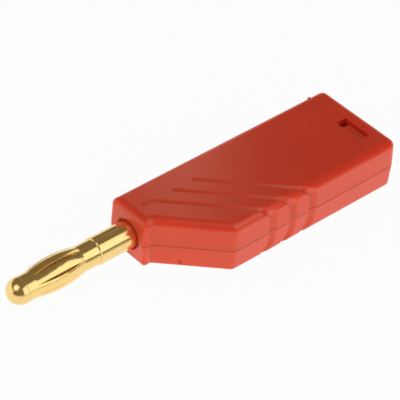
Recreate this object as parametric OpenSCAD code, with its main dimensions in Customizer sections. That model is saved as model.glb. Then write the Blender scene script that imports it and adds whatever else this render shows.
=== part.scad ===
// Flat 4 mm banana plug: a sprung lantern pin in front, two snap-together half shells,
// a stacking socket in line with the pin and a screw terminal for a lead beside it.
// Shapes are drawn from the pin axis where it leaves the front face: x runs back to the
// lead end, y runs to the side that the pin is on, z runs up from the parting plane.

/* [Body] */
// Length of the moulded body
body_len = 39.4; // [38.5:0.1:44]
// Width of the body at the parting plane
body_w = 15.2; // [14.8:0.1:18]
// Height of the upper shell above the parting plane
upper_h = 4.2; // [4.1:0.05:5]
// Height of the lower shell below the parting plane
lower_h = 3.75; // [3.7:0.05:4.5]
// Draft of the upper shell's walls in degrees
upper_draft = 1.9; // [0.5:0.1:3]
// Draft of the lower shell's walls in degrees
lower_draft = 3.4; // [0.5:0.1:4]
// Rounding of the top edges
top_round = 1.05; // [0.5:0.05:1.3]
// Rounding of the bottom edges
bottom_round = 0.6; // [0.45:0.05:1]
// Rounding of the upright corners at the front face
front_round = 0.6; // [0.5:0.05:0.9]
// Rounding of the other upright corners
side_round = 1.1; // [1.05:0.05:1.3]
// Thickness of the shell walls
wall = 1.15; // [1:0.05:1.4]
// Distance from the pin axis to the side that the pin is on
pin_inset = 3.7; // [3.65:0.05:4.2]
// Length of the straight cheek beside the pin
cheek_len = 1.35; // [0.8:0.05:2]
// Depth of the fine step along the parting line
parting_step = 0.1; // [0.05:0.01:0.2]

/* [Grip grooves] */
// Number of grip grooves
groove_count = 3; // [1:1:3]
// Spacing of the grooves along the body
groove_pitch = 3.63; // [3:0.05:4]
// Distance of the first groove's inner end from the front face
groove_first = 3.85; // [3.5:0.05:5]
// Length of the hook at the first groove's inner end
groove_hook = 1.8; // [0.5:0.1:2.4]
// Distance of the first groove from the front face on the side wall
groove_side = 16.1; // [15:0.1:17]
// Depth of the grooves on the top and bottom faces
groove_top_depth = 0.3; // [0.2:0.02:0.4]
// Depth of the grooves on the side wall
groove_depth = 0.44; // [0.4:0.01:0.45]
// Width of the grooves on the top and bottom faces
groove_top_w = 0.8; // [0.6:0.05:1.1]
// Width of the grooves on the side wall
groove_side_w = 1.55; // [1.2:0.05:1.8]
// Length over which a groove turns from slanted to upright
groove_turn = 2.3; // [2.1:0.1:3]

/* [Snap latch] */
// Size of the latch window along the body
window_len = 1.97; // [1.8:0.01:2.2]
// Size of the latch window across the body
window_w = 4.9; // [4.5:0.1:5.2]
// Distance from the rear end to the latch window
window_rear = 2.33; // [2.2:0.01:2.6]
// Distance from the pin axis to the middle of the latch window
window_off = 5.73; // [5.6:0.01:5.9]
// Depth of the latch tongue below the top face
tongue_drop = 0.55; // [0.45:0.05:0.6]
// Gap beside the tongue that takes a screwdriver tip
pry_gap = 1.0; // [0.6:0.1:1.4]
// Overhang of the snap ledge and of the barb above it
snap_ledge = 0.2; // [0.15:0.01:0.25]

/* [Contact pin] */
// Reach of the pin in front of the body
pin_reach = 20; // [19:0.1:22]
// Diameter of the shank
shank_d = 3.95; // [3.9:0.01:4]
// Length of the shank in front of the body
shank_len = 5.85; // [5:0.05:6.5]
// Diameter of the round head
head_d = 3.8; // [3.75:0.01:3.9]
// Diameter of the core inside the spring cage
core_d = 3.2; // [3:0.02:3.24]
// Diameter of the flange that the shells hold
flange_d = 6; // [5:0.1:6.2]
// Diameter of the spigot pressed into the terminal
spigot_d = 3; // [2.6:0.1:3.2]

/* [Spring cage] */
// Number of leaves
leaf_count = 8; // [6:1:8]
// Thickness of the spring sheet
sheet_t = 0.25; // [0.2:0.01:0.28]
// Free diameter over the bowed leaves
crest_d = 4.65; // [4.4:0.01:4.8]
// Length of the collar behind the head
front_collar = 1.55; // [1.2:0.05:2]
// Length of the collar at the shank
rear_collar = 2.5; // [2:0.05:3]
// Width of the slits between the leaves where they leave the collars
slit_w = 0.05; // [0.04:0.01:0.06]
// Width of the butt seam of the rolled sheet
seam_w = 0.2; // [0.1:0.01:0.3]
// Turn of the cage about the pin in degrees
cage_turn = 11; // [0:1:45]

/* [Terminal] */
// Diameter of the stacking socket's bore
socket_d = 4.06; // [4.04:0.01:4.1]
// Depth of the stacking socket
socket_depth = 23; // [21:0.5:24]
// Outside diameter of the socket barrel
barrel_d = 5.2; // [5:0.05:5.2]
// Distance from the pin axis to the lead's axis
lead_off = 6.4; // [6.2:0.05:6.5]
// Diameter of the hole for the lead
lead_d = 4.2; // [3.6:0.1:4.3]
// Diameter of the hole for the bare wire
wire_d = 2.6; // [2:0.1:2.6]
// Drop of the wire hole below the lead's axis
wire_drop = 0.5; // [0.4:0.05:0.6]
// Diameter of the clamp screw
screw_d = 3; // [2.5:0.1:3.2]
// Length of the clamp screw
screw_len = 2; // [1.6:0.1:2]

/* [Fits] */
// Running clearance of the spring cage and the clamp screw
run_gap = 0.02; // [0.01:0.005:0.05]
// Clearance of pegs, latch and seats in the shells
seat_gap = 0.1; // [0.05:0.01:0.12]
// Clearance round the pin in the front face
mouth_gap = 0.32; // [0.1:0.02:0.5]

/* [Hidden] */
$fn = 64;
cut = 0.5;
arc_ease = 1.15;
miter = sqrt(2) - 1;

// Outline of the body from above, at the parting plane
far_y = pin_inset;
near_y = pin_inset - body_w;
cheek_y = -pin_inset;
chamfer_end = cheek_len + cheek_y - near_y;
chamfer_out = (-cheek_len - cheek_y) / sqrt(2);
corners = [
    [0, far_y, 135, 90, front_round],
    [0, cheek_y, 225, 90, front_round],
    [chamfer_end, near_y, 247.5, 45, side_round],
    [body_len, near_y, 315, 90, side_round],
    [body_len, far_y, 45, 90, side_round]
];
body_mid = [(body_len - pin_reach) / 2, (far_y + near_y) / 2, -lower_h];

// Pin and spring cage along the axis, measured forward from the front face
axial_play = 0.05;
head_r = head_d / 2;
head_base = pin_reach - head_r;
head_lip = 0.25;
shank_r = shank_d / 2;
cage_rear = shank_len + axial_play;
cage_front = head_base - head_lip - axial_play;
cage_in = core_d / 2 + run_gap;
cage_out = cage_in + sheet_t;
leaf_rear = cage_rear + rear_collar;
leaf_front = cage_front - front_collar;
leaf_mid = (leaf_rear + leaf_front) / 2;
leaf_half = (leaf_front - leaf_rear) / 2;
crest_r = crest_d / 2;
crest_shave = 0.01;
leaf_rise = crest_r + crest_shave - cage_out;
leaf_bow = (leaf_half * leaf_half + leaf_rise * leaf_rise) / (2 * leaf_rise);
leaf_axis = crest_r + crest_shave - leaf_bow;
leaf_w = 2 * cage_out * sin(180 / leaf_count) - slit_w;
seam_turn = cage_turn + 180 - 180 / leaf_count;

// Flange, terminal and lead, measured back from the front face
flange_x = 4.9;
flange_t = 1.5;
flange_seat = 0.05;
spigot_len = 5;
barrel_r = barrel_d / 2;
barrel_x = flange_x + flange_t;
rear_wall = 1.35;
barrel_end = body_len - rear_wall - flange_seat;
lobe_x = 10.2;
lobe_len = 8.5;
lobe_w = 4.8;
lobe_h = 2.6;
lobe_base = -lobe_h + 0.1;
web_h = 1.8;
spigot_relief = 0.1;
wire_depth = 7.5;
screw_x = lobe_x + 3.4;
screw_lift = 0.05;
screw_tip = wire_d / 2 - wire_drop + screw_lift;
screw_slot = [0.5, 0.7];
lead_y = -lead_off;

// Inside of the shells
roof_gap = 0.4;
roof_z = barrel_r + roof_gap;
floor_z = -barrel_r - flange_seat;
bay_gap = 0.15;
bay_y = barrel_r + bay_gap;
bay_wall = 0.5;
bay_wall_gap = 1.3;
bay_wall_x = lobe_x + lobe_len + bay_wall_gap;
lobe_gap = 0.6;
near_bay_x = lobe_x - lobe_gap;
bulk_roof_gap = 0.15;
bulk_side_gap = 0.2;
window_x1 = body_len - window_rear;
window_x0 = window_x1 - window_len;
window_y1 = -window_off + window_w / 2;
window_y0 = -window_off - window_w / 2;
bulk_x0 = window_x0 + snap_ledge + seat_gap;
bulk_x1 = window_x1 - seat_gap;
tongue_z = upper_h - tongue_drop;
barb_h = 0.25;
barb_z = tongue_z - barb_h;
ledge_z = barb_z - flange_seat;
grip_ribs = [23, 28];
grip_shift = 2.5;
grip_t = 0.9;
grip_squeeze = 0.2;
grip_land = 0.6;
peg_r = 0.8;
peg_h = 1.7;
peg_boss = 1.3;
peg_land = 0.6;
pegs = [[6.3, -5.3], [33, near_y + wall + peg_land]];
mouth_r = shank_r + mouth_gap;
mouth_depth = 0.6;
mouth_edge = 0.15;
socket_lead = 0.3;
socket_mouth = socket_d / 2 + socket_lead;
step_in = 0.6;
gate_r = 0.6;
gate_rise = 1.05;
gate_depth = 0.2;
gate_out = 7.4;
groove_inner_y = -0.3;
groove_lean = 0.5;
groove_facets = 8;
groove_bends = 8;
groove_clear = 0.6;
groove_lip = 0.04;
slant = [1, -1] / sqrt(2);
run_out = [[0, 0.05], [0.12, 0.5], [0.3, 0.85], [0.6, 1]];
nib_r = 0.26;
nib_rear = 3.2;
nib_x = body_len - nib_rear;
nib_sink = 0.35;
nib_y = far_y - upper_h * tan(upper_draft) - nib_sink;

// Outline of the body set in by a wall
function plan(inset) = [
    [inset, far_y - inset],
    [inset, cheek_y + inset],
    [cheek_len + inset * miter, cheek_y + inset],
    [chamfer_end + inset * miter, near_y + inset],
    [body_len - inset, near_y + inset],
    [body_len - inset, far_y - inset]
];

// Distance from a corner to the middle of the arc that rounds it. The arc is a little
// larger than r, so that it meets both sides at a fine crease.
function arc_reach(r, half_turn) =
    r / cos(half_turn) - r * cos(half_turn) + sqrt(pow(r * arc_ease, 2) - pow(r * sin(half_turn), 2));

// Arc that rounds the edge between a face and its drafted side: how far its middle lies in from
// the side's foot, the height of its middle, and its end angles from upright
function edge_arc(h, draft, r) =
    let(
        half_turn = (90 - draft) / 2,
        half_span = asin(sin(half_turn) / arc_ease),
        reach = arc_reach(r, half_turn)
    )
    [
        h * tan(draft) + reach * sin(half_turn),
        h - reach * cos(half_turn),
        half_turn - half_span,
        half_turn + half_span
    ];

// Shift of a groove along the body on its turn from slanted to upright
function turn_shift(s, shift) =
    let(t = min(s / groove_turn, 1))
    shift * t * t * (3 - 2 * t) + groove_turn * t * (1 - t) * (1 - t);

// Station of a groove on the flat face
function face_station(p, h, share) =
    [[p[0], p[1], h], [0, 0, 1], groove_top_w, (groove_top_depth + groove_lip) * share];

// Stations of a groove: a place on its run, the surface's normal there, the groove's width and its
// drop from the lips. It starts on the face, the first one with a hook, runs slantwise to the edge,
// bends over the edge and goes down the side past the parting plane.
function groove_stations(i, h, draft, r) =
    let(
        arc = edge_arc(h, draft, r),
        arc_r = r * arc_ease,
        arc_y = near_y + arc[0],
        edge_y = arc_y - arc_r * sin(arc[2]),
        edge_len = arc_r * (arc[3] - arc[2]) * PI / 180,
        side_z = arc[1] + arc_r * cos(arc[3]),
        side_len = groove_turn - edge_len,
        inner = [groove_first + i * groove_pitch, groove_inner_y],
        edge_x = inner[0] + inner[1] - edge_y,
        shift = groove_side + i * groove_pitch - edge_x,
        hooked = i == 0,
        ahead = hooked ? [1, 0] : slant,
        start = hooked ? inner - groove_hook * ahead : inner,
        bend = [inner - groove_top_w / 2 * ahead, inner + groove_top_w / 2 * slant]
    )
    concat(
        [for (e = run_out) face_station(start + e[0] * ahead, h, e[1])],
        [for (p = hooked ? bend : []) face_station(p, h, 1)],
        [for (j = [0 : groove_bends]) let(
            share = j / groove_bends,
            a = arc[2] + (arc[3] - arc[2]) * share
        ) [
            [edge_x + turn_shift(share * edge_len, shift), arc_y - arc_r * sin(a), arc[1] + arc_r * cos(a)],
            [0, -sin(a), cos(a)],
            groove_top_w + (groove_side_w - groove_top_w) * share,
            groove_lip + groove_top_depth + (groove_depth - groove_top_depth) * share
        ]],
        [for (d = [side_len / 3, side_len * 2 / 3, side_len, side_z + cut]) let(z = side_z - d) [
            [edge_x + turn_shift(edge_len + d, shift), near_y + z * tan(draft), z],
            [0, -cos(draft), sin(draft)],
            groove_side_w,
            groove_lip + groove_depth
        ]]
    );

// Moves a shape from the pin's own frame to the frame of the whole part
module place() {
    translate(-body_mid) children();
}

// Turns a shape drawn upwards so that it points forward along the pin
module forward() {
    rotate([0, -90, 0]) children();
}

// Round bar that runs back along the body
module bar(x, y, r, length) {
    translate([x, y, 0]) rotate([0, 90, 0]) cylinder(r = r, h = length);
}

// Upright box between two corners
module block(a, b) {
    translate(a) cube(b - a);
}

// What a rounded corner takes off a square one, drawn from the middle of its arc
module corner_cut(r) {
    difference() {
        square(4 * r);
        circle(r);
    }
}

// Half of a body section above the parting plane, with drafted sides and rounded edges
module half_section(lo, hi, h, draft, r) {
    top_in = h * tan(draft);
    arc = edge_arc(h, draft, r);
    difference() {
        polygon([[lo, 0], [hi, 0], [hi - top_in, h], [lo + top_in, h]]);
        translate([hi - arc[0], arc[1]]) corner_cut(r * arc_ease);
        translate([lo + arc[0], arc[1]]) mirror([1, 0]) corner_cut(r * arc_ease);
    }
}

// Outline that is turned about an upright corner's middle: the drafted side and the rounded edge
module corner_outline(corner_r, h, draft, r) {
    foot = corner_r * arc_ease;
    arc = edge_arc(h, draft, r);
    core = foot - arc[0] + r * arc_ease * sin(arc[2]);
    difference() {
        polygon([[0, -cut], [foot + cut * tan(draft), -cut], [foot - h * tan(draft), h], [0, h]]);
        translate([foot - arc[0], arc[1]]) corner_cut(r * arc_ease);
    }
    translate([0, -cut]) square([max(core, seat_gap), h + 2 * cut]);
}

// What rounds an upright corner, given by its place, facing, turn and rounding
module upright_cut(corner, h, draft, r) {
    half_turn = corner[3] / 2;
    far = 4 * corner[4];
    translate([corner[0], corner[1], 0]) rotate([0, 0, corner[2]])
        translate([-arc_reach(corner[4], half_turn), 0, 0]) difference() {
            translate([0, 0, -cut]) linear_extrude(h + 2 * cut)
                polygon([[0, 0], [far, -far * tan(half_turn)], [far, far * tan(half_turn)]]);
            rotate_extrude() corner_outline(corner[4], h, draft, r);
        }
}

// Solid half of the body above the parting plane
module half_body(h, draft, r) {
    difference() {
        sharp_half(h, draft, r);
        for (c = corners) upright_cut(c, h, draft, r);
    }
}

// The same half with its upright corners left sharp
module sharp_half(h, draft, r) {
    span = 2 * (body_len + body_w);
    intersection() {
        rotate([90, 0, 0])
            linear_extrude(span, center = true) half_section(0, body_len, h, draft, r);
        union() {
            intersection() {
                rotate([90, 0, 90])
                    linear_extrude(span, center = true) half_section(near_y, far_y, h, draft, r);
                rotate([90, 0, 225])
                    linear_extrude(span, center = true) half_section(-span, chamfer_out, h, draft, r);
            }
            rotate([90, 0, 90])
                linear_extrude(span, center = true) half_section(cheek_y, far_y, h, draft, r);
        }
    }
}

// Plan of the hollow: a bay for the socket barrel and a bay for the terminal and the lead
module hollow_plan() {
    translate([barrel_x, -bay_y]) square([body_len - rear_wall - barrel_x, 2 * bay_y]);
    intersection() {
        polygon(plan(wall));
        translate([near_bay_x, near_y]) square([window_x1 - near_bay_x, -near_y]);
    }
}

// Way for the pin through the nose, with its open mouth and the flange seat
module pin_way() {
    bar(-cut, 0, mouth_r, mouth_depth + cut);
    translate([-cut, 0, 0]) rotate([0, 90, 0])
        cylinder(r1 = mouth_r + mouth_edge + cut, r2 = mouth_r, h = mouth_edge + cut);
    bar(0, 0, shank_r + flange_seat, flange_x);
    bar(flange_x - flange_seat, 0, flange_d / 2 + flange_seat, flange_t + 2 * flange_seat);
}

// Holes in the rear end for a stacked plug and, through to the bay, for the lead
module rear_ways() {
    bar(barrel_end - cut, 0, socket_mouth, rear_wall + 2 * cut);
    bar(bulk_x0 - cut, lead_y, lead_d / 2, body_len - bulk_x0 + 2 * cut);
}

// Rib across the lead's bay, notched to grip the lead
module grip_rib(x, from_z, to_z) {
    difference() {
        block([x, near_y + wall - cut, from_z], [x + grip_t, -bay_y - bay_wall, to_z]);
        bar(x - cut, lead_y, lead_d / 2 - grip_squeeze, grip_t + 2 * cut);
    }
}

// Cutter along a groove, with a steep front lip and a long easy slope behind it. Side is 1 above
// the parting plane and -1 below it.
module groove_cutter(stations, side) {
    last = len(stations) - 1;
    ring = groove_facets + 3;
    points = [for (s = [0 : last]) let(
        here = stations[s],
        run = stations[min(s + 1, last)][0] - stations[max(s - 1, 0)][0],
        across = cross(run, here[1]) / norm(cross(run, here[1])),
        half_w = across * here[2] / 2,
        sink = here[1] * here[3],
        lip = here[0] + here[1] * groove_lip,
        clear = here[1] * groove_clear,
        outline = concat(
            [for (k = [0 : groove_facets]) let(q = k / groove_facets)
                lip + half_w * (1 - 2 * q) - sink * sin(180 * pow(q, groove_lean))],
            [lip - half_w + clear, lip + half_w + clear]
        )
    ) for (k = [0 : ring - 1]) let(p = outline[side > 0 ? k : ring - 1 - k]) [p[0], p[1], side * p[2]]];
    walls = [for (s = [0 : last - 1], k = [0 : ring - 1]) let(
        a = s * ring + k,
        b = s * ring + (k + 1) % ring
    ) each [[a, a + ring, b + ring], [a, b + ring, b]]];
    polyhedron(points, concat(
        [[for (k = [0 : ring - 1]) k]],
        walls,
        [[for (k = [ring - 1 : -1 : 0]) last * ring + k]]
    ));
}

// Cutters of the grip grooves on one half
module grip_grooves(h, draft, edge_round, side) {
    for (i = [0 : groove_count - 1]) groove_cutter(groove_stations(i, h, draft, edge_round), side);
}

// Upper half shell with the latch window
module upper_shell() {
    color("firebrick") place() difference() {
        union() {
            difference() {
                half_body(upper_h, upper_draft, top_round);
                translate([0, 0, -cut]) linear_extrude(roof_z + cut) hollow_plan();
            }
            block([bay_wall_x, -bay_y - bay_wall, seat_gap], [window_x0 - cut, -bay_y, roof_z + cut]);
            for (x = grip_ribs) grip_rib(x + grip_shift, grip_land, roof_z + cut);
            translate([pegs[1][0], pegs[1][1], 0]) cylinder(r = peg_boss, h = roof_z + cut);
            translate([nib_x, nib_y, upper_h - nib_sink]) sphere(nib_r);
        }
        pin_way();
        rear_ways();
        for (p = pegs) translate([p[0], p[1], -cut])
            cylinder(r = peg_r + seat_gap, h = peg_h + seat_gap + cut);
        block([window_x0, window_y0, ledge_z], [window_x1, window_y1, upper_h + cut]);
        block([window_x0 + snap_ledge, window_y0, roof_z - cut], [window_x1, window_y1, upper_h]);
        grip_grooves(upper_h, upper_draft, top_round, 1);
    }
}

// Lower half shell with pegs, lead ribs and the bulkhead that carries the latch tongue
module lower_shell() {
    color("firebrick") place() difference() {
        union() {
            difference() {
                mirror([0, 0, 1]) half_body(lower_h, lower_draft, bottom_round);
                translate([0, 0, floor_z]) linear_extrude(cut - floor_z) hollow_plan();
                translate([0, 0, -parting_step]) linear_extrude(cut) difference() {
                    polygon(plan(-cut));
                    polygon(plan(step_in));
                }
            }
            block([bay_wall_x, -bay_y - bay_wall, floor_z - cut], [window_x0 - cut, -bay_y, 0]);
            for (x = grip_ribs) grip_rib(x, floor_z - cut, -grip_land);
            translate([pegs[1][0], pegs[1][1], floor_z - cut]) cylinder(r = peg_boss, h = cut - floor_z);
            for (p = pegs) translate([p[0], p[1], floor_z]) cylinder(r = peg_r, h = peg_h - floor_z);
            bulkhead();
        }
        pin_way();
        rear_ways();
        grip_grooves(lower_h, lower_draft, bottom_round, -1);
        gate_mark();
    }
}

// Wall that the lead is threaded through, with the latch tongue and its barb on top
module bulkhead() {
    tongue_y0 = window_y0 + seat_gap;
    tongue_y1 = window_y1 - pry_gap;
    block([bulk_x0, near_y + wall + bulk_side_gap, floor_z - cut],
          [bulk_x1, -bay_y - bay_wall, roof_z - bulk_roof_gap]);
    block([bulk_x0, tongue_y0, 0], [bulk_x1, tongue_y1, tongue_z]);
    block([bulk_x0 - snap_ledge, tongue_y0, barb_z], [bulk_x1, tongue_y1, tongue_z]);
}

// Round scar of the moulding gate, low on the chamfered face
module gate_mark() {
    gate_z = -lower_h + gate_rise;
    out = chamfer_out + gate_z * tan(lower_draft) + gate_r - gate_depth;
    rotate([0, 0, 225]) translate([out, gate_out, gate_z]) sphere(gate_r);
}

// Turned pin: head, core, shank, flange and spigot
module contact_pin() {
    edge = 0.15;
    color("gold") place() forward() rotate_extrude() {
        translate([0, -barrel_x - spigot_len]) square([spigot_d / 2, spigot_len + cut]);
        translate([0, -barrel_x]) square([flange_d / 2, flange_t]);
        polygon([
            [0, -flange_x - cut], [shank_r, -flange_x - cut], [shank_r, shank_len - edge],
            [shank_r - edge, shank_len], [0, shank_len]
        ]);
        translate([0, shank_len - cut]) square([core_d / 2, head_base - shank_len + cut]);
        translate([0, head_base - head_lip]) square([head_r, head_lip]);
        translate([0, head_base]) intersection() {
            circle(head_r);
            square(head_r);
        }
    }
}

// Lantern of bowed leaves rolled from one spring sheet, free to turn on the core
module spring_cage() {
    color("gold") place() forward() {
        difference() {
            rotate_extrude() {
                translate([cage_in, cage_rear]) square([sheet_t, rear_collar]);
                translate([cage_in, leaf_front]) square([sheet_t, front_collar]);
            }
            rotate([0, 0, seam_turn])
                block([0, -seam_w / 2, cage_rear - cut], [crest_r, seam_w / 2, cage_front + cut]);
        }
        intersection() {
            rotate_extrude() intersection() {
                difference() {
                    translate([leaf_axis, leaf_mid]) circle(leaf_bow, $fn = 256);
                    translate([leaf_axis, leaf_mid]) circle(leaf_bow - sheet_t, $fn = 256);
                }
                translate([cage_in, leaf_rear]) square([crest_r - cage_in, leaf_front - leaf_rear]);
            }
            union() for (i = [0 : leaf_count - 1]) rotate([0, 0, cage_turn + i * 360 / leaf_count])
                block([core_d / 4, -leaf_w / 2, leaf_rear - cut], [crest_d, leaf_w / 2, leaf_front + cut]);
        }
    }
}

// Brass terminal: a socket barrel behind the pin and a lobe with the wire hole beside it
module terminal_block() {
    color("goldenrod") place() difference() {
        union() {
            bar(barrel_x, 0, barrel_r, barrel_end - barrel_x);
            block([lobe_x, lead_y - lobe_w / 2, lobe_base],
                  [lobe_x + lobe_len, lead_y + lobe_w / 2, lobe_h]);
            block([lobe_x, lead_y, -web_h], [lobe_x + lobe_len, 0, web_h]);
        }
        bar(barrel_end - socket_depth, 0, socket_d / 2, socket_depth + cut);
        bar(barrel_x - cut, 0, spigot_d / 2, spigot_len + cut + spigot_relief);
        translate([0, 0, -wire_drop]) {
            bar(lobe_x + lobe_len - wire_depth, lead_y, wire_d / 2, wire_depth + cut);
            translate([screw_x, lead_y, 0])
                cylinder(r = screw_d / 2 + run_gap, h = lobe_h + wire_drop + cut);
        }
    }
}

// Slotted set screw that clamps the wire
module clamp_screw() {
    tip = 0.3;
    color("silver") place() translate([screw_x, lead_y, screw_tip]) difference() {
        union() {
            cylinder(r1 = screw_d / 2 - tip, r2 = screw_d / 2, h = tip);
            translate([0, 0, tip]) cylinder(r = screw_d / 2, h = screw_len - tip);
        }
        translate([-screw_d, -screw_slot[0] / 2, screw_len - screw_slot[1]])
            cube([2 * screw_d, screw_slot[0], screw_slot[1] + cut]);
    }
}

upper_shell();
lower_shell();
contact_pin();
spring_cage();
terminal_block();
clamp_screw();
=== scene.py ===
import math

import bpy
from mathutils import Matrix, Vector

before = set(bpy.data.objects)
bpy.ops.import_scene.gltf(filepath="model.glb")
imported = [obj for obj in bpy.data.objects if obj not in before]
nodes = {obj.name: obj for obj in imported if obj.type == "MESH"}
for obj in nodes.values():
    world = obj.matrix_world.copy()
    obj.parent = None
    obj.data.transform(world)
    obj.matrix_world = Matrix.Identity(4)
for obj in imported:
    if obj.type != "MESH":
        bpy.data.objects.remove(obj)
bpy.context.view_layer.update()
print("frame loaded:", ", ".join(sorted(nodes)))


# small helpers for shader trees

def newTree(name):
    mat = bpy.data.materials.new(name)
    mat.use_nodes = True
    tree = mat.node_tree
    tree.nodes.clear()
    out = tree.nodes.new("ShaderNodeOutputMaterial")
    return mat, tree, out


def feed(tree, socket, value):
    if isinstance(value, bpy.types.NodeSocket):
        tree.links.new(value, socket)
    else:
        socket.default_value = value


def addNode(tree, kind, props=None, **sockets):
    node = tree.nodes.new("ShaderNode" + kind)
    for key, value in (props or {}).items():
        setattr(node, key, value)
    for key, value in sockets.items():
        feed(tree, node.inputs[key.replace("_", " ")], value)
    return node


def mathNode(tree, operation, first, second):
    node = addNode(tree, "Math", {"operation": operation})
    feed(tree, node.inputs[0], first)
    feed(tree, node.inputs[1], second)
    return node.outputs[0]


def mixColour(tree, factor, first, second):
    node = addNode(tree, "Mix", {"data_type": "RGBA"})
    for slot, value in ((0, factor), (6, first), (7, second)):  # the sockets that take colours
        feed(tree, node.inputs[slot], value)
    return node.outputs[2]


def rangeNode(tree, value, fromLow, fromHigh, toLow, toHigh):
    node = addNode(tree, "MapRange", Value=value, From_Min=fromLow, From_Max=fromHigh,
                   To_Min=toLow, To_Max=toHigh)
    return node.outputs["Result"]


# places on the piece, in millimetres, and straight away from a line along X

def millimetres(tree, stretch=(1, 1, 1)):
    place = addNode(tree, "TexCoord").outputs["Object"]
    scale = [1000 * s for s in stretch]
    return addNode(tree, "Mapping", Vector=place, Scale=scale).outputs["Vector"]


def fromAxis(tree, axis):
    place = addNode(tree, "TexCoord").outputs["Object"]
    offset = addNode(tree, "Mapping", Vector=place, Location=[-c for c in axis]).outputs["Vector"]
    return addNode(tree, "Mapping", Vector=offset, Scale=(0, 1, 1)).outputs["Vector"]


noiseSpan = (0.3, 0.7)  # most of a noise lies between these


def noise(tree, place, scale, detail=3.0, roughness=0.5):
    node = addNode(tree, "TexNoise", Vector=place, Scale=scale, Detail=detail, Roughness=roughness)
    return node.outputs["Fac"]


# camera, set from the view that shows the plug with its pin towards the viewer

cameraView = {
    "azimuth": -44.065, "elevation": 40.854, "roll": 4.218,
    "distance": 0.3191, "aim": (-0.00118, -0.00036, 0.00375),
    "focalPixels": 2372.0, "aimPixel": (195.6, 225.3), "imageSize": 400,
    "sensor": 36, "clip": (0.01, 20),
}


def makeCamera(cfg):
    az, el, roll = (math.radians(cfg[k]) for k in ("azimuth", "elevation", "roll"))
    back = Vector((math.sin(az) * math.cos(el), -math.cos(az) * math.cos(el), math.sin(el)))
    right = Vector((math.cos(az), math.sin(az), 0))
    up = back.cross(right)
    side = right * math.cos(roll) + up * math.sin(roll)
    top = up * math.cos(roll) - right * math.sin(roll)
    middle = cfg["imageSize"] / 2
    offX, offY = middle - cfg["aimPixel"][0], cfg["aimPixel"][1] - middle
    forward = (side * offX + top * offY - back * cfg["focalPixels"]).normalized()
    side = (side - forward * side.dot(forward)).normalized()
    top = side.cross(forward)
    data = bpy.data.cameras.new("camera")
    data.sensor_width = cfg["sensor"]
    data.lens = cfg["sensor"] * cfg["focalPixels"] / cfg["imageSize"]
    data.clip_start, data.clip_end = cfg["clip"]
    cam = bpy.data.objects.new("camera", data)
    bpy.context.scene.collection.objects.link(cam)
    turn = Matrix((side, top, -forward)).transposed()
    cam.matrix_world = Matrix.Translation(Vector(cfg["aim"]) + back * cfg["distance"]) @ turn.to_4x4()
    bpy.context.scene.camera = cam


makeCamera(cameraView)
bpy.context.scene.view_settings.view_transform = "Standard"
print("camera set")


# studio: white light table, white surround and soft lamps, with a dim room and white panels to reflect

studio = {
    "floorSize": 3.0, "floorDrop": 0.00002, "floorColour": (0.86, 0.86, 0.86, 1),
    "shadowShare": 0.04,  # part of the floor's look that comes from light, and so takes the shadow
    "fill": 0.475,
    "lamps": {
        "leftBox": {"centre": (-0.142, 0.004, 0.168), "aim": (0, 0, 0.004), "size": (0.19, 0.19),
                    "power": 0.080},
        "rightBox": {"centre": (0.156, -0.294, 0.108), "aim": (0, 0, 0.004), "size": (0.44, 0.22),
                     "power": 0.23},
        "tableGlow": {"centre": (0, 0, 0.0003), "aim": (0, 0, 1), "size": (0.60, 0.60), "power": 0.805},
    },
    "panels": {  # these, the room and the table's edge are seen in reflections only
        "leftPanel": {"centre": (-0.142, 0.004, 0.168), "aim": (-0.028, 0.004, 0.004), "size": (0.16, 0.16),
                      "shade": 1.25, "corners": 32},
        "pinCard": {"centre": (0.0020, -0.0224, 0.0281), "aim": (-0.0190, 0.0060, 0.00835),
                    "size": (0.030, 0.0335), "shade": 1.30},
        "leafCard": {"centre": (-0.0232, -0.004, 0.0090), "aim": (-0.0232, 0.0039, 0.0090),
                     "size": (0.0106, 0.0098), "shade": 1.25},
        "farPanel": {"centre": (-0.075, 0.075, 0.024), "aim": (0, 0, 0.008), "size": (0.19, 0.05),
                     "shade": 1.00},
        "topCard": {"centre": (0.0314, 0.0393, 0.0374), "aim": (0.0078, 0.0149, 0.0079),
                    "size": (0.0135, 0.033), "shade": 1.15},
    },
    "room": {"width": 0.95, "height": 0.95, "shade": (0.17, 0.135, 0.085, 1),
             "foot": {"left": 0.01, "near": 0.01, "right": 0.12, "far": 0.16}},
    "tableEdge": {"near": -0.030, "far": -0.100, "reach": 0.30, "height": 0.0001,
                  "shade": (0.16, 0.13, 0.10, 1)},
}


def placeFacing(obj, cfg):
    centre = Vector(cfg["centre"])
    obj.location = centre
    obj.rotation_mode = "QUATERNION"
    obj.rotation_quaternion = (Vector(cfg["aim"]) - centre).to_track_quat("-Z", "Y")


def addStage(name, corners, faces):
    mesh = bpy.data.meshes.new(name)
    mesh.from_pydata(corners, [], faces)
    obj = bpy.data.objects.new(name, mesh)
    bpy.context.scene.collection.objects.link(obj)
    return obj


def backdrop(tree, share):
    path = addNode(tree, "LightPath")
    seen = mathNode(tree, "MAXIMUM", path.outputs["Is Camera Ray"], path.outputs["Is Glossy Ray"])
    seen = mathNode(tree, "MAXIMUM", seen, path.outputs["Is Transmission Ray"])
    return mathNode(tree, "MULTIPLY", seen, share)


def mixShaders(tree, factor, first, second, out):
    both = tree.nodes.new("ShaderNodeMixShader")
    for slot, socket in enumerate((factor, first.outputs[0], second.outputs[0])):
        tree.links.new(socket, both.inputs[slot])
    tree.links.new(both.outputs[0], out.inputs["Surface"])


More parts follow.
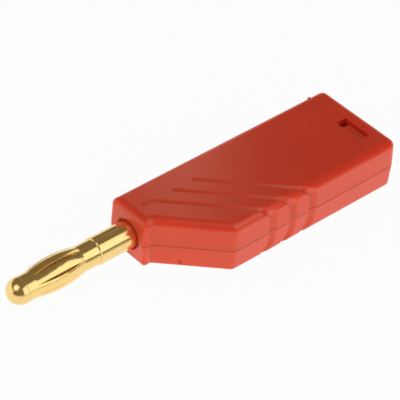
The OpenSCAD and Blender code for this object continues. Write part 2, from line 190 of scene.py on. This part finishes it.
def makeFloor(cfg):
    s = cfg["floorSize"] / 2
    floor = addStage("floor", [(-s, -s, 0), (s, -s, 0), (s, s, 0), (-s, s, 0)], [(0, 1, 2, 3)])
    floor.location.z = -cfg["floorDrop"]
    mat, tree, out = newTree("floorWhite")
    paper = addNode(tree, "BsdfDiffuse", Color=cfg["floorColour"])
    white = addNode(tree, "Emission", Color=(1, 1, 1, 1), Strength=1.0)
    mixShaders(tree, backdrop(tree, 1 - cfg["shadowShare"]), paper, white, out)
    floor.data.materials.append(mat)


def makeWorld(cfg):
    world = bpy.data.worlds.new("surround")
    bpy.context.scene.world = world
    world.use_nodes = True
    tree = world.node_tree
    tree.nodes.clear()
    out = tree.nodes.new("ShaderNodeOutputWorld")
    fill = addNode(tree, "Background", Color=(1, 1, 1, 1), Strength=cfg["fill"])
    white = addNode(tree, "Background", Color=(1, 1, 1, 1), Strength=1.0)
    mixShaders(tree, backdrop(tree, 1.0), fill, white, out)


def makeLamp(name, cfg):
    data = bpy.data.lights.new(name, "AREA")
    data.shape = "RECTANGLE"
    data.size, data.size_y = cfg["size"]
    data.energy = cfg["power"]
    lamp = bpy.data.objects.new(name, data)
    bpy.context.scene.collection.objects.link(lamp)
    placeFacing(lamp, cfg)
    lamp.visible_camera = False
    lamp.visible_glossy = False


def onlyReflected(obj, shade):
    obj.visible_camera = False
    obj.visible_diffuse = False
    obj.visible_transmission = False
    obj.visible_shadow = False
    mat, tree, out = newTree(obj.name + "Grey")
    grey = addNode(tree, "Emission", Color=shade, Strength=1.0)
    tree.links.new(grey.outputs[0], out.inputs["Surface"])
    obj.data.materials.append(mat)


def makePanel(name, cfg):
    x, y = cfg["size"][0] / 2, cfg["size"][1] / 2
    corners = [(-x, -y, 0), (x, -y, 0), (x, y, 0), (-x, y, 0)]
    if "corners" in cfg:
        turns = [math.tau * k / cfg["corners"] for k in range(cfg["corners"])]
        corners = [(x * math.cos(t), y * math.sin(t), 0) for t in turns]
    panel = addStage(name, corners, [tuple(range(len(corners)))])
    placeFacing(panel, cfg)
    onlyReflected(panel, (cfg["shade"],) * 3 + (1,))


def makeRoom(cfg):
    w, h, foot = cfg["width"], cfg["height"], cfg["foot"]
    walls = {"left": ((-w, w), (-w, -w)), "near": ((-w, -w), (w, -w)),
             "right": ((w, -w), (w, w)), "far": ((w, w), (-w, w))}
    corners, faces = [], []
    for side, (a, b) in walls.items():
        k = len(corners)
        corners += [(*a, foot[side]), (*b, foot[side]), (*b, h), (*a, h)]
        faces.append((k, k + 1, k + 2, k + 3))
    faces.append((2, 6, 10, 14))  # ceiling
    onlyReflected(addStage("room", corners, faces), cfg["shade"])


def makeTableEdge(cfg):
    x, a, b, z = cfg["reach"], cfg["near"], cfg["far"], cfg["height"]
    strip = addStage("tableEdge", [(-x, a, z), (x, a, z), (x, b, z), (-x, b, z)], [(0, 1, 2, 3)])
    onlyReflected(strip, cfg["shade"])


makeFloor(studio)
makeWorld(studio)
for lampName, lampCfg in studio["lamps"].items():
    makeLamp(lampName, lampCfg)
for panelName, panelCfg in studio["panels"].items():
    makePanel(panelName, panelCfg)
makeRoom(studio["room"])
makeTableEdge(studio["tableEdge"])
print("studio set")


# red moulded shells

shellFinish = {
    "red": (0.735, 0.048, 0.020, 1), "deepRed": (0.70, 0.043, 0.018, 1),
    "roughness": (0.30, 0.38), "specular": 0.82, "specularTint": (1.0, 1.0, 0.60, 1), "bend": 1.5,
    "scatter": 1.0, "scatterReach": (1.0, 0.30, 0.15), "scatterScale": 0.0014,
    "edgeRadius": 0.00016, "edgeSamples": 6,
    "pinAxis": (0, 0.0039, 0.00375), "boreRadius": 0.0032, "boreEdge": 0.00003,
    "grainScale": 7.0, "grainDepth": 0.000006, "grainStrength": 0.35,
    "toneScale": 0.16, "shineScale": 0.35,
}


# edges round the pin stay crisper than the outer ones

def edgeWidth(tree, cfg):
    away = addNode(tree, "VectorMath", {"operation": "LENGTH"}, Vector=fromAxis(tree, cfg["pinAxis"]))
    outside = mathNode(tree, "GREATER_THAN", away.outputs["Value"], cfg["boreRadius"])
    return rangeNode(tree, outside, 0, 1, cfg["boreEdge"], cfg["edgeRadius"])


def makeShellRed(cfg):
    mat, tree, out = newTree("shellRed")
    place = millimetres(tree)
    tone = rangeNode(tree, noise(tree, place, cfg["toneScale"], 4), *noiseSpan, 0, 1)
    colour = mixColour(tree, tone, cfg["deepRed"], cfg["red"])
    bevel = addNode(tree, "Bevel", {"samples": cfg["edgeSamples"]}, Radius=edgeWidth(tree, cfg))
    grain = noise(tree, place, cfg["grainScale"], 4, 0.6)
    bump = addNode(tree, "Bump", Strength=cfg["grainStrength"], Distance=cfg["grainDepth"],
                   Height=grain, Normal=bevel.outputs[0])
    shine = rangeNode(tree, noise(tree, place, cfg["shineScale"], 5, 0.6), *noiseSpan, *cfg["roughness"])
    skin = addNode(tree, "BsdfPrincipled", Base_Color=colour, Roughness=shine, IOR=cfg["bend"],
                   Specular_IOR_Level=cfg["specular"], Specular_Tint=cfg["specularTint"],
                   Subsurface_Weight=cfg["scatter"], Subsurface_Radius=cfg["scatterReach"],
                   Subsurface_Scale=cfg["scatterScale"], Normal=bump.outputs[0])
    tree.links.new(skin.outputs[0], out.inputs["Surface"])
    return mat


# gold plate on the turned pin and on the rolled cage

goldFinish = {
    "gold": (0.97, 0.71, 0.29, 1), "deepGold": (0.93, 0.65, 0.24, 1),
    "metallic": 0.93, "roughness": (0.13, 0.20), "edgeRadius": 0.00005, "edgeSamples": 6,
    "markDepth": 0.000002, "markStrength": 0.25,
    "pinMarks": (11.0, 0.6, 0.6), "cageMarks": (0.5, 9.0, 9.0),
    "toneScale": 0.5, "toneSpan": (0.35, 0.7), "shineScale": 0.9,
    "pinAxis": (0, 0.0039, 0.00375), "coreReach": (-0.0262, -0.0157),
    "hiddenGold": (0.98, 0.68, 0.27, 1), "hiddenMetallic": 0.1, "hiddenRoughness": 0.5,
}


# the core under the cage and the inner faces of the leaves are left duller

def coreShare(tree, cfg):
    along = addNode(tree, "SeparateXYZ", Vector=addNode(tree, "TexCoord").outputs["Object"]).outputs["X"]
    front, rear = cfg["coreReach"]
    return mathNode(tree, "MULTIPLY", mathNode(tree, "GREATER_THAN", along, front),
                    mathNode(tree, "LESS_THAN", along, rear))


def innerShare(tree, cfg):
    outward = fromAxis(tree, cfg["pinAxis"])
    facing = addNode(tree, "VectorTransform",
                     {"vector_type": "NORMAL", "convert_from": "WORLD", "convert_to": "OBJECT"},
                     Vector=addNode(tree, "NewGeometry").outputs["Normal"]).outputs["Vector"]
    both = addNode(tree, "VectorMath", {"operation": "DOT_PRODUCT"})
    tree.links.new(outward, both.inputs[0])
    tree.links.new(facing, both.inputs[1])
    return mathNode(tree, "LESS_THAN", both.outputs["Value"], 0)


def makeGold(name, cfg, marks, hidden):
    mat, tree, out = newTree(name)
    place = millimetres(tree)
    tone = rangeNode(tree, noise(tree, place, cfg["toneScale"], 3), *cfg["toneSpan"], 0, 1)
    colour = mixColour(tree, tone, cfg["deepGold"], cfg["gold"])
    lines = noise(tree, millimetres(tree, marks), 1.0, 3)
    bevel = addNode(tree, "Bevel", {"samples": cfg["edgeSamples"]}, Radius=cfg["edgeRadius"])
    bump = addNode(tree, "Bump", Strength=cfg["markStrength"], Distance=cfg["markDepth"], Height=lines,
                   Normal=bevel.outputs[0])
    shine = rangeNode(tree, noise(tree, place, cfg["shineScale"], 4), *noiseSpan, *cfg["roughness"])
    share = hidden(tree, cfg)
    colour = mixColour(tree, share, colour, cfg["hiddenGold"])
    polish = rangeNode(tree, share, 0, 1, cfg["metallic"], cfg["hiddenMetallic"])
    shine = mathNode(tree, "MAXIMUM", shine, mathNode(tree, "MULTIPLY", share, cfg["hiddenRoughness"]))
    metal = addNode(tree, "BsdfPrincipled", Base_Color=colour, Metallic=polish, Roughness=shine,
                    Normal=bump.outputs[0])
    tree.links.new(metal.outputs[0], out.inputs["Surface"])
    return mat


# bare metals inside the shells

innerFinish = {
    "terminalBrass": {"light": (0.82, 0.61, 0.29, 1), "dark": (0.76, 0.54, 0.24, 1),
                      "roughness": (0.26, 0.34)},
    "screwSteel": {"light": (0.66, 0.66, 0.68, 1), "dark": (0.58, 0.58, 0.61, 1),
                   "roughness": (0.28, 0.38)},
    "cutting": {"marks": (8, 0.8, 0.8), "depth": 0.0000015, "strength": 0.2,
                "toneScale": 0.8, "shineScale": 1.4},
}


def makeCutMetal(name):
    cfg, cut = innerFinish[name], innerFinish["cutting"]
    mat, tree, out = newTree(name)
    place = millimetres(tree)
    tone = rangeNode(tree, noise(tree, place, cut["toneScale"], 4), *noiseSpan, 0, 1)
    colour = mixColour(tree, tone, cfg["dark"], cfg["light"])
    lines = noise(tree, millimetres(tree, cut["marks"]), 1.0, 3)
    bump = addNode(tree, "Bump", Strength=cut["strength"], Distance=cut["depth"], Height=lines)
    shine = rangeNode(tree, noise(tree, place, cut["shineScale"], 4), *noiseSpan, *cfg["roughness"])
    metal = addNode(tree, "BsdfPrincipled", Base_Color=colour, Metallic=1.0, Roughness=shine,
                    Normal=bump.outputs[0])
    tree.links.new(metal.outputs[0], out.inputs["Surface"])
    return mat


def dress(name, mat):
    data = nodes[name].data
    data.materials.clear()
    data.materials.append(mat)


shellRed = makeShellRed(shellFinish)
dress("upper_shell", shellRed)
dress("lower_shell", shellRed)
dress("contact_pin", makeGold("pinGold", goldFinish, goldFinish["pinMarks"], coreShare))
dress("spring_cage", makeGold("cageGold", goldFinish, goldFinish["cageMarks"], innerShare))
dress("terminal_block", makeCutMetal("terminalBrass"))
dress("clamp_screw", makeCutMetal("screwSteel"))
print("finishes set")
